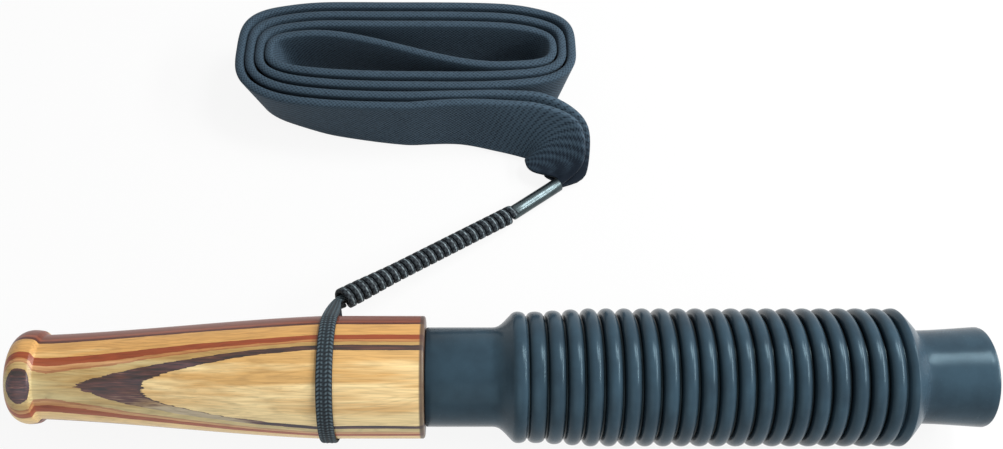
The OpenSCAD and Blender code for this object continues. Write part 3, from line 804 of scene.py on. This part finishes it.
# Stitches 1 mm long in four columns, which lean to the left and to the right by turns.
stitch_mm = 1
column = cord_section[:, 0]
column_share = (column + 1) * 2 % 1
column_lean = np.where((column + 1) * 2 % 2 < 1, column_share, 1 - column_share)
stitch_phase = noose_along[:, None] / stitch_mm + 0.6 * column_lean
stitch = np.abs(np.sin(math.pi * stitch_phase)) ** 0.7 * (0.45 + 0.55 * np.sin(math.pi * column_share))
outer_face = np.clip(cord_section[:, 1] * 2, 0, 1)
stitch_height = 0.22
stitch_sunk = 0.17
noose_relief = (stitch_height * stitch - stitch_sunk) * outer_face
noose = swept(
    "noose_braid",
    noose_centre,
    noose_across,
    noose_out,
    noose_wide - (noose_wide - leg_wide) * noose_narrow**2,
    np.full(len(noose_centre), cord_thick),
    cord_section,
    noose_relief,
    braid,
)
# The stitch marks carry the painted sheen on the crests and the painted shade in the valleys.
mark(noose, "yarn_and_sheen", np.where(outer_face > 0.2, stitch, 0.3))
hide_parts("noose_loop")
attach(noose, "barrel")

# The two legs, one over the other, from the knot into the crimp.
crimp_dir = (crimp_to - crimp_from) / np.linalg.norm(crimp_to - crimp_from)
for side, node in ((1, "noose_leg_upper"), (-1, "noose_leg_lower")):
    shift = whip_up * leg_offset * side
    stops = [knot + shift, crimp_from - whip_dir + shift, crimp_from + crimp_dir * leg_grip + shift]
    to_crimp = stops[0] + (stops[1] - stops[0]) * np.linspace(0, 1, 120)[:, None]
    in_crimp = stops[1] + (stops[2] - stops[1]) * np.linspace(0, 1, 16)[1:, None]
    run = np.concatenate([to_crimp, in_crimp])
    run_heading = unit_rows(np.gradient(run, axis=0))
    run_out = np.tile(whip_up * side, (len(run), 1))
    run_across = unit_rows(np.cross(run_out, run_heading))
    run_mm = run_along(run)
    run_stitch = np.abs(np.sin(math.pi * (run_mm[:, None] / stitch_mm + 0.6 * column_lean))) ** 0.7
    leg = swept(
        node.replace("noose_leg", "cord_leg"),
        run,
        run_across,
        np.cross(run_heading, run_across),
        np.full(len(run), leg_wide),
        np.full(len(run), cord_thick),
        cord_section,
        -0.1 + 0.1 * run_stitch * outer_face,
        braid,
    )
    # The legs' stitch marks carry the same painted sheen and shade.
    mark(leg, "yarn_and_sheen", run_stitch * (0.3 + 0.7 * outer_face))
    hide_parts(node)
    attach(leg, "barrel")

# Whipping
# A narrower flat braid of black polyester, wound tightly round the two legs in nearly 24 turns from the
# knot to the crimp. Its first turns are wider, over the knot's end.


def placed(x_axis, y_axis, z_axis, origin):
    """Matrix that turns a piece's own axes to these and puts its origin at a place in mm."""
    columns = np.stack([x_axis, y_axis, z_axis, origin * MM], 1)
    return Matrix(np.concatenate([columns, [[0, 0, 0, 1]]]).tolist())


whip_braid, whip_tree, whip_finish, whip_place = new_material("wound_polyester_braid")
whip_along = add_node(whip_tree, "ShaderNodeAttribute", attribute_name="along")
whip_around = add_node(whip_tree, "ShaderNodeAttribute", attribute_name="around")
# Plaited yarns 0.7 mm apart lean both ways and cross in the middle of the braid.
# A painted highlight runs along the braid's outside, at 0.36 of the way round it, where the turns catch the
# light, and is broken into flecks about 1 mm apart.
whip_fleck_noise = add_node(whip_tree, "ShaderNodeTexNoise", {"Vector": whip_place, "Scale": 0.9, "Detail": 2})
whip_flecks = add_node(whip_tree, "ShaderNodeMapRange", {0: whip_fleck_noise, 1: 0.38, 2: 0.6, 3: 0.25, 4: 1})
value = {"along": whip_along.outputs["Fac"], "share": whip_around.outputs["Fac"], "flecks": whip_flecks}
for result, operation, *terms in (
    ("along", "MULTIPLY", "along", math.tau / (1.4 * MM)),
    ("around", "MULTIPLY", "share", math.tau * 4),
    ("lean_right", "ADD", "along", "around"),
    ("lean_left", "SUBTRACT", "along", "around"),
    ("lean_right", "SINE", "lean_right"),
    ("lean_left", "SINE", "lean_left"),
    ("yarn_and_sheen", "MAXIMUM", "lean_right", "lean_left"),
    ("yarn_and_sheen", "MULTIPLY_ADD", "yarn_and_sheen", 0.09, 0.1),
    ("highlight_stripe", "SUBTRACT", "share", 0.36),
    ("highlight_stripe", "ABSOLUTE", "highlight_stripe"),
    ("highlight_stripe", "MULTIPLY_ADD", "highlight_stripe", -22, 1),
    ("highlight_stripe", "MAXIMUM", "highlight_stripe", 0),
    ("highlight_stripe", "MULTIPLY", "highlight_stripe", "flecks"),
    ("yarn_and_sheen", "MULTIPLY_ADD", "highlight_stripe", 0.9, "yarn_and_sheen"),
):
    links = {i: value.get(term, term) for i, term in enumerate(terms)}
    value[result] = add_node(whip_tree, "ShaderNodeMath", links, operation=operation)
whip_colour = add_node(whip_tree, "ShaderNodeValToRGB", {0: value["yarn_and_sheen"]})
set_stops(whip_colour, (0.1, "#080E16"), (1, "#8C9CA2"))
whip_bump = add_node(
    whip_tree, "ShaderNodeBump", {"Strength": 0.6, "Distance": 0.1 * MM, "Height": value["yarn_and_sheen"]}
)
set_inputs(
    whip_finish,
    {
        "Base Color": whip_colour,
        "Normal": whip_bump,
        "Roughness": 0.65,
        "Specular IOR Level": 0.15,
        "Sheen Weight": 0.03,
    },
)

# A spiral about Z with a flat section, marked with the length along it and the share round it.
whip_rule, size = new_rule(
    "wound_braid",
    Float="turns height radius swell swell_share braid_width braid_thickness braid_edge",
    Int="steps_per_turn",
    Material="braid",
)
whip_spiral = add_node(
    whip_rule,
    "GeometryNodeCurveSpiral",
    {
        "Resolution": size["steps_per_turn"],
        "Rotations": size["turns"],
        "Start Radius": size["radius"],
        "End Radius": size["radius"],
        "Height": size["height"],
        "Reverse": True,
    },
)
whip_measure = add_node(whip_rule, "GeometryNodeSplineParameter")
# The first turns are wider by the swell, and the rest ease down to the radius.
whip_wider = add_node(
    whip_rule,
    "ShaderNodeMapRange",
    {
        "Value": whip_measure.outputs["Factor"],
        "From Min": 0,
        "From Max": size["swell_share"],
        "To Min": size["swell"],
        "To Max": 1,
    },
    interpolation_type="SMOOTHSTEP",
)
whip_reach = add_node(whip_rule, "ShaderNodeCombineXYZ", {0: whip_wider, 1: whip_wider, 2: 1})
whip_spread = add_node(
    whip_rule,
    "ShaderNodeVectorMath",
    {0: add_node(whip_rule, "GeometryNodeInputPosition"), 1: whip_reach},
    operation="MULTIPLY",
)
whip_swollen = add_node(
    whip_rule, "GeometryNodeSetPosition", {"Geometry": whip_spiral, "Position": whip_spread}
)
whip_marked = add_node(
    whip_rule,
    "GeometryNodeStoreNamedAttribute",
    {"Geometry": whip_swollen, "Name": "along", "Value": whip_measure.outputs["Length"]},
    data_type="FLOAT",
    domain="POINT",
)
whip_upright = add_node(whip_rule, "GeometryNodeSetCurveNormal", {"Curve": whip_marked}, mode="Z_UP")
whip_flat = add_node(
    whip_rule,
    "GeometryNodeCurvePrimitiveQuadrilateral",
    {"Width": size["braid_thickness"], "Height": size["braid_width"]},
)
whip_soft = add_node(
    whip_rule,
    "GeometryNodeFilletCurve",
    {"Curve": whip_flat, "Count": 4, "Radius": size["braid_edge"]},
    mode="POLY",
)
whip_turned = add_node(
    whip_rule, "GeometryNodeTransform", {"Geometry": whip_soft, "Rotation": (0, 0, math.pi)}
)
whip_flat_marked = add_node(
    whip_rule,
    "GeometryNodeStoreNamedAttribute",
    {"Geometry": whip_turned, "Name": "around", "Value": whip_measure.outputs["Factor"]},
    data_type="FLOAT",
    domain="POINT",
)
whip_solid = add_node(
    whip_rule,
    "GeometryNodeCurveToMesh",
    {"Curve": whip_upright, "Profile Curve": whip_flat_marked, "Fill Caps": True},
)
whip_smooth = add_node(whip_rule, "GeometryNodeSetShadeSmooth", {0: whip_solid})
whip_real = add_node(whip_rule, "GeometryNodeRealizeInstances", {0: whip_smooth})
whip_dressed = add_node(
    whip_rule, "GeometryNodeSetMaterial", {"Geometry": whip_real, "Material": size["braid"]}
)
add_node(whip_rule, "NodeGroupOutput", {0: whip_dressed})

whip_pitch = 2.43
whip_turns = 23.7
whip_r = 2.01
whip_wide_r = 2.51
wide_turns = 8
whipping = grown(
    "wound_whipping",
    whip_rule,
    {
        "turns": whip_turns,
        "height": whip_turns * whip_pitch * MM,
        "radius": whip_r * MM,
        "swell": whip_wide_r / whip_r,
        "swell_share": wide_turns / whip_turns,
        "steps_per_turn": 36,
        "braid_width": 2.15 * MM,
        "braid_thickness": 1.15 * MM,
        "braid_edge": 0.45 * MM,
        "braid": whip_braid,
    },
)
# It starts a tenth of a turn before the place where its first turn lies 0.8 mm from the knot.
first_gap = 0.8
first_width = 1.85
early_turn = 0.1
whip_start = knot + whip_dir * (first_gap + first_width / 2 - early_turn * whip_pitch)
whip_phase = math.radians(200) - early_turn * math.tau
whip_first = whip_up * math.cos(whip_phase) + whip_side * math.sin(whip_phase)
whipping.data.transform(placed(whip_first, np.cross(whip_dir, whip_first), whip_dir, whip_start))
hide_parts("whipping")
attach(whipping, "barrel")

# Crimp sleeve
# A short tube of nickel-plated brass with rounded rims, squeezed over the legs' ends and the strap's
# gathered ends to hold them together.

nickel, nickel_tree, nickel_finish, nickel_place = new_material("bright_nickel_plate")
# Bright plate dulled by handling: a soft mirror, more worn in patches of about 3 mm.
nickel_wear = add_node(
    nickel_tree, "ShaderNodeTexNoise", {"Vector": nickel_place, "Scale": 0.3, "Detail": 3}
)
nickel_colour = add_node(nickel_tree, "ShaderNodeValToRGB", {0: nickel_wear})
set_stops(nickel_colour, (0.35, "#424C4E"), (0.65, "#505B5E"))
nickel_rough = add_node(
    nickel_tree, "ShaderNodeMapRange", {0: nickel_wear, 1: 0.3, 2: 0.7, 3: 0.35, 4: 0.32}
)
set_inputs(nickel_finish, {"Base Color": nickel_colour, "Roughness": nickel_rough, "Metallic": 1})

crimp_len = float(np.linalg.norm(crimp_to - crimp_from))
crimp_side = np.cross([0, 0, 1], crimp_dir)
crimp_side /= np.linalg.norm(crimp_side)
crimp_lift = np.cross(crimp_dir, crimp_side)
crimp_bore_r = 1.65
crimp_r = 2.05
crimp_rim = [(0, crimp_bore_r), (0, 1.85), (0.06, 1.98), (0.2, crimp_r)]
crimp_wall = [(crimp_len * share, crimp_r) for share in (0.2, 0.5, 0.8)]
crimp_section = crimp_rim + crimp_wall + [(crimp_len - at, r) for at, r in crimp_rim[::-1]]
crimp_place = placed(crimp_dir, crimp_side, crimp_lift, crimp_from)
crimp = turned("crimped_sleeve", crimp_section, crimp_place, nickel, 64)
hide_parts("crimp_sleeve")
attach(crimp, "barrel")

# Neck strap
# Tube-woven black polyester webbing, 19 mm wide, stood on edge and wound from its middle in a double
# oval coil. Its two ends fold over and gather into the crimp.

strap_wide = 19
strap_thick = 2.5
strap_squeezed = 1
coil_centre = np.array([-24.5, 108.9])
# Half the length and depth of the innermost oval, what each half turn adds to them, and how square the
# oval is in front and behind.
coil_length = 42
coil_depth = 6.4
length_step = 2.9
depth_step = 4
front_square = 3.1
back_square = 4.4
# How far the strap's lower edge is drawn in under its upper edge where the strap leans.
left_lean = 5.2
right_lean = 4.6
front_lean = 4
# How far before the crimp a tail is down to its gathered width, and how far it goes in.
tail_lead = 1.5
tail_grip = 5


def oval(angles, half_turns):
    """Points of the coil's oval spiral at angles in degrees, after some half turns."""
    c = np.cos(np.radians(angles))
    s = np.sin(np.radians(angles))
    p = 2 / np.where(s < 0, front_square, back_square)
    x = (coil_length + length_step * half_turns) * np.sign(c) * np.abs(c) ** p
    y = (coil_depth + depth_step * half_turns) * np.sign(s) * np.abs(s) ** p
    return coil_centre + np.stack([x, y], 1)


back_angles = np.arange(630, 119.9, -0.5)
front_angles = np.arange(-60, 630.1, 0.5)
back_arm = oval(back_angles, (back_angles - 90) / 180)
front_arm = oval(front_angles, (front_angles + 90) / 180)
s_share = np.linspace(0, 1, 60)[1:-1]
s_middle = np.stack(
    [
        back_arm[-1, 0] + (front_arm[0, 0] - back_arm[-1, 0]) * s_share,
        back_arm[-1, 1] + (front_arm[0, 1] - back_arm[-1, 1]) * eased(s_share),
    ],
    1,
)


def ramp(start, end, values):
    """An eased rise from 0 at the start value to 1 at the end value."""
    return eased(np.clip((values - start) / (end - start), 0, 1))


def edges_at(points):
    """Lower and upper edge of the strap at points of its upper edge. The strap leans outwards at the coil's
    two ends and at the left of its front."""
    u, v = ((points - coil_centre) / coil_length).T
    sideways = left_lean * ramp(-0.5, -1, u) - right_lean * ramp(0.6, 1, u)
    backwards = front_lean * ramp(0.2, -0.85, u) * ramp(0.42, -0.5, v)
    drawn_in = np.stack([sideways, backwards], 1)
    lean = np.linalg.norm(drawn_in, axis=1) / strap_wide
    lower = np.column_stack([points + drawn_in, lean * strap_thick / 2])
    upper = np.column_stack([points, strap_wide * np.sqrt(1 - lean**2)])
    return np.stack([lower, upper], 1)


coil_edges = edges_at(np.concatenate([back_arm, s_middle, front_arm]))

# Lower and upper edge of each end of the strap, from the coil to the crimp, in mm.
front_tail = [
    ((-10, 87.2, 0.1), (-10, 87.8, 19)),
    ((2, 84.1, 0.2), (3, 88, 18.5)),
    ((10, 81.1, 0.5), (15, 87.5, 17.5)),
    ((10, 79, 2), (25.5, 84, 14.5)),
    ((10.5, 74.7, 3.6), (27.5, 76.5, 8.5)),
    ((13.2, 71.8, 4.4), (26, 73, 5.4)),
]
back_tail = [
    ((-10, 90.5, 0.1), (-10, 91, 19)),
    ((3, 88.5, 0.2), (4, 91.8, 18.5)),
    ((12, 85, 0.5), (17, 91.5, 17)),
    ((15, 80.5, 1), (28, 87, 11)),
    ((15.5, 75.5, 1.2), (29, 77.5, 4.5)),
    ((16, 72.2, 1.3), (26.5, 70.4, 1.8)),
]


def tail_edges(coil_end, stations, side):
    """Edges of a tail from the coil's end into the crimp, over (1) or under (-1) the other tail."""
    middle = crimp_to + crimp_lift * side * leg_offset
    keys = [*edges_at(coil_end[None]), *stations]
    for end in (middle + crimp_dir * tail_lead, middle - crimp_dir * tail_grip):
        keys.append([end + crimp_side, end - crimp_side])
    keys = np.array(keys, float)
    last = len(keys) - 1
    edges = []
    for i in range(last):
        a, b, c, d = keys[max(i - 1, 0)], keys[i], keys[i + 1], keys[min(i + 2, last)]
        for u in np.linspace(0, 1, 16, endpoint=False):
            curve = (c - a) * u + (2 * a - 5 * b + 4 * c - d) * u**2 + (3 * b - a - 3 * c + d) * u**3
            edges.append(b + curve / 2)
    return np.array(edges + [keys[last]])


front_edges = tail_edges(front_arm[-1], front_tail, 1)
back_edges = tail_edges(back_arm[0], back_tail, -1)
strap_edges = np.concatenate([back_edges[:0:-1], coil_edges, front_edges[1:]])
strap_mid = strap_edges.mean(1)
strap_run = run_along(strap_mid)
strap_length = strap_run[-1]
strap_at = np.linspace(0, strap_length, int(strap_length))
strap_edges = np.stack(
    [
        np.stack([np.interp(strap_at, strap_run, strap_edges[:, e, axis]) for axis in range(3)], 1)
        for e in range(2)
    ],
    1,
)
weights = np.array([1, 2, 3, 2, 1]) / 9
strap_edges[2:-2] = sum(w * strap_edges[i : len(strap_edges) - 4 + i] for i, w in enumerate(weights))
strap_mid = strap_edges.mean(1)
strap_rise = strap_edges[:, 1] - strap_edges[:, 0]
strap_width = np.linalg.norm(strap_rise, axis=1)
strap_across = strap_rise / strap_width[:, None]
strap_heading = unit_rows(np.gradient(strap_mid, axis=0))
strap_out = unit_rows(np.cross(strap_heading, strap_across))
# Distance from the nearer end, where the strap is squeezed thin for the crimp.
to_end = np.minimum(strap_at, strap_length - strap_at)
strap_depth = strap_squeezed + (strap_thick - strap_squeezed) * ramp(6, 20, to_end)
# Two flat faces and two round edges. The section starts in the middle of an edge, where the UVs meet.
flat_share = 0.93
face = np.linspace(-flat_share, flat_share, 14)
edge = np.radians(np.linspace(0, 180, 7)[1:-1])
edge_reach = flat_share + (1 - flat_share) * np.sin(edge)
strap_side = np.concatenate(
    [np.stack([face, -np.ones(len(face))], 1), np.stack([edge_reach, -np.cos(edge)], 1)]
)
strap_section = np.roll(np.concatenate([strap_side, -strap_side]), 3, 0)
# Pleats form where the strap narrows.
squeeze = np.clip((18 - strap_width) / 10, 0, 1) * np.clip((to_end - 7) / 6, 0, 1)
pleats = 0.45 * squeeze[:, None] * np.sin(math.pi * 2.5 * strap_section[:, 0] + 0.6)

webbing, webbing_tree, webbing_finish, webbing_place = new_material("tube_woven_webbing")
webbing_uv = add_node(webbing_tree, "ShaderNodeUVMap", uv_map="weave")
webbing_parts = add_node(webbing_tree, "ShaderNodeSeparateXYZ", {0: webbing_uv})
# Plain weave with warp ends 0.55 mm apart and picks 0.6 mm apart: floats stand up turn and turn about.
# Its selvedges get a painted highlight. Where it is gathered its picks bunch in slanting ridges 1.7 mm
# apart, painted in light and shade, and a painted sheen lightens the pleats; over the last 24 mm before the
# crimp painted shade darkens it and flattens the weave.
value = {
    "across": webbing_parts.outputs[0],
    "along": webbing_parts.outputs[1],
    "selvedge": add_node(webbing_tree, "ShaderNodeAttribute", attribute_name="selvedge").outputs["Fac"],
}
for result, operation, *terms in (
    ("from_far_end", "SUBTRACT", float(strap_length), "along"),
    ("from_end", "MINIMUM", "along", "from_far_end"),
    ("loose_and_lit", "SUBTRACT", "from_end", 6),
    ("loose_and_lit", "DIVIDE", "loose_and_lit", 18),
    ("loose_and_lit", "MINIMUM", "loose_and_lit", 1),
    ("loose_and_lit", "MAXIMUM", "loose_and_lit", 0.1),
    ("warp", "MULTIPLY", "across", math.pi / 0.55),
    ("warp", "SINE", "warp"),
    ("weft", "MULTIPLY", "along", math.pi / 0.6),
    ("weft", "SINE", "weft"),
    ("float", "MULTIPLY", "warp", "weft"),
    ("float", "MULTIPLY_ADD", "float", 0.32, 0.4),
    ("float", "MULTIPLY_ADD", "selvedge", 0.04, "float"),
    ("gathered", "MULTIPLY_ADD", "from_end", -0.05, 2.4),
    ("gathered", "MINIMUM", "gathered", 1),
    ("gathered", "MAXIMUM", "gathered", 0),
    ("ridges", "MULTIPLY_ADD", "across", 0.35, "along"),
    ("ridges", "MULTIPLY", "ridges", math.tau / 1.7),
    ("ridges", "SINE", "ridges"),
    ("ridges", "MULTIPLY", "ridges", "gathered"),
    ("float", "MULTIPLY_ADD", "ridges", 0.22, "float"),
    ("float", "MULTIPLY_ADD", "gathered", 0.12, "float"),
    ("float", "MULTIPLY", "float", "loose_and_lit"),
    ("lint_share", "MULTIPLY_ADD", "loose_and_lit", 0.6, 0.15),
):
    links = {i: value.get(term, term) for i, term in enumerate(terms)}
    value[result] = add_node(webbing_tree, "ShaderNodeMath", links, operation=operation)
# Lint in tufts of about 0.6 mm, which shows more, and lightens more, away from the painted shade at the
# ends.
webbing_lint = add_node(
    webbing_tree, "ShaderNodeTexNoise", {"Vector": webbing_place, "Scale": 1.6, "Detail": 6}
)
webbing_tone = add_node(
    webbing_tree,
    "ShaderNodeMath",
    {0: webbing_lint, 1: value["lint_share"], 2: value["float"]},
    operation="MULTIPLY_ADD",
)
webbing_colour = add_node(webbing_tree, "ShaderNodeValToRGB", {0: webbing_tone})
set_stops(webbing_colour, (0.36, "#0E1823"), (1, "#3E505E"))
webbing_bump = add_node(
    webbing_tree, "ShaderNodeBump", {"Strength": 0.5, "Distance": 0.08 * MM, "Height": value["float"]}
)
set_inputs(
    webbing_finish,
    {
        "Base Color": webbing_colour,
        "Normal": webbing_bump,
        "Roughness": 0.75,
        "Specular IOR Level": 0.12,
        "Sheen Weight": 0.04,
    },
)

strap = swept(
    "neck_strap",
    strap_mid,
    strap_across,
    strap_out,
    strap_width,
    strap_depth,
    strap_section,
    pleats,
    webbing,
)
# The selvedge marks carry a painted highlight on the rims.
mark(strap, "selvedge", np.tile(np.abs(strap_section[:, 0]) > 0.9, len(strap_mid)))
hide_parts("strap_coil", "strap_tail_front", "strap_tail_back")
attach(strap, "barrel")

# Floor, light and camera
# A pale table under a lamp high on the right, a long one lower on the right, a broad soft one in front
# and even light all round.

paper, paper_tree, paper_finish, paper_place = new_material("white_table_paper")
# Fibres lie in clouds of about 1 mm.
paper_fibre = add_node(
    paper_tree, "ShaderNodeTexNoise", {"Vector": paper_place, "Scale": 0.9, "Detail": 3}
)
paper_colour = add_node(paper_tree, "ShaderNodeValToRGB", {0: paper_fibre})
set_stops(paper_colour, (0, "#D6D6D6"), (1, "#DADADA"))
set_inputs(paper_finish, {"Base Color": paper_colour, "Roughness": 0.9, "Specular IOR Level": 0.1})
# The table lies 0.2 mm under the call, so that nothing shares its plane.
floor_reach = 3
floor_height = -0.2 * MM
floor_corners = [
    (x * floor_reach, y * floor_reach, floor_height) for x, y in ((-1, -1), (1, -1), (1, 1), (-1, 1))
]
floor_mesh = bpy.data.meshes.new("table")
floor_mesh.from_pydata(floor_corners, [], [(0, 1, 2, 3)])
floor_mesh.materials.append(paper)
floor = add_object("table", floor_mesh)

world = bpy.data.worlds.new("studio")
world.use_nodes = True
bpy.context.scene.world = world
world_tree = world.node_tree

# The paper and the sky have a white of their own for what is seen, straight or in metal or through glass.
seen = []
for tree in (paper_tree, world_tree):
    path = add_node(tree, "ShaderNodeLightPath").outputs
    rays = path["Is Camera Ray"]
    for ray in ("Is Glossy Ray", "Is Transmission Ray"):
        rays = add_node(tree, "ShaderNodeMath", {0: rays, 1: path[ray]}, operation="MAXIMUM")
    seen.append(rays)
paper_seen, sky_seen = seen
# The paper shows as nearly white, so the object's shadow on it stays faint.
paper_glow = add_node(paper_tree, "ShaderNodeMath", {0: paper_seen, 1: 0.9}, operation="MULTIPLY")
paper_white = add_node(paper_tree, "ShaderNodeEmission", {"Strength": 1})
paper_mix = add_node(paper_tree, "ShaderNodeMixShader", {0: paper_glow, 1: paper_finish, 2: paper_white})
set_inputs(paper_tree.nodes["Material Output"], {"Surface": paper_mix})
sky_strength = add_node(world_tree, "ShaderNodeMapRange", {0: sky_seen, 3: 0.36, 4: 1})
set_inputs(world_tree.nodes["Background"], {"Color": (1, 1, 1, 1), "Strength": sky_strength})

lit_place = Vector((0.02, 0.03, 0.01))
for name, place, width, height, power in (
    ("key_lamp", (0.38, 0.2, 0.62), 0.28, 0.2, 3.4),
    ("right_lamp", (0.6, 0.02, 0.42), 0.6, 0.1, 4.8),
    ("front_lamp", (-0.15, -0.85, 0.38), 0.8, 0.8, 1.6),
):
    lamp = bpy.data.lights.new(name, "AREA")
    lamp.shape = "RECTANGLE"
    lamp.size = width
    lamp.size_y = height
    lamp.energy = power
    lamp_object = add_object(name, lamp)
    lamp_object.location = place
    aim = lit_place - Vector(place)
    lamp_object.rotation_euler = aim.to_track_quat("-Z", "Y").to_euler()

lens = bpy.data.cameras.new("photo_view")
lens.lens = 40.28
lens.sensor_width = 36
lens.shift_x = 0.0394
lens.shift_y = -0.0199
lens.clip_start = 0.01
camera = add_object("photo_view", lens)
camera.location = (-0.0089, -0.1254, 0.2705)
camera.rotation_euler = (math.radians(35), 0, 0)
bpy.context.scene.camera = camera
bpy.context.scene.view_settings.view_transform = "Standard"
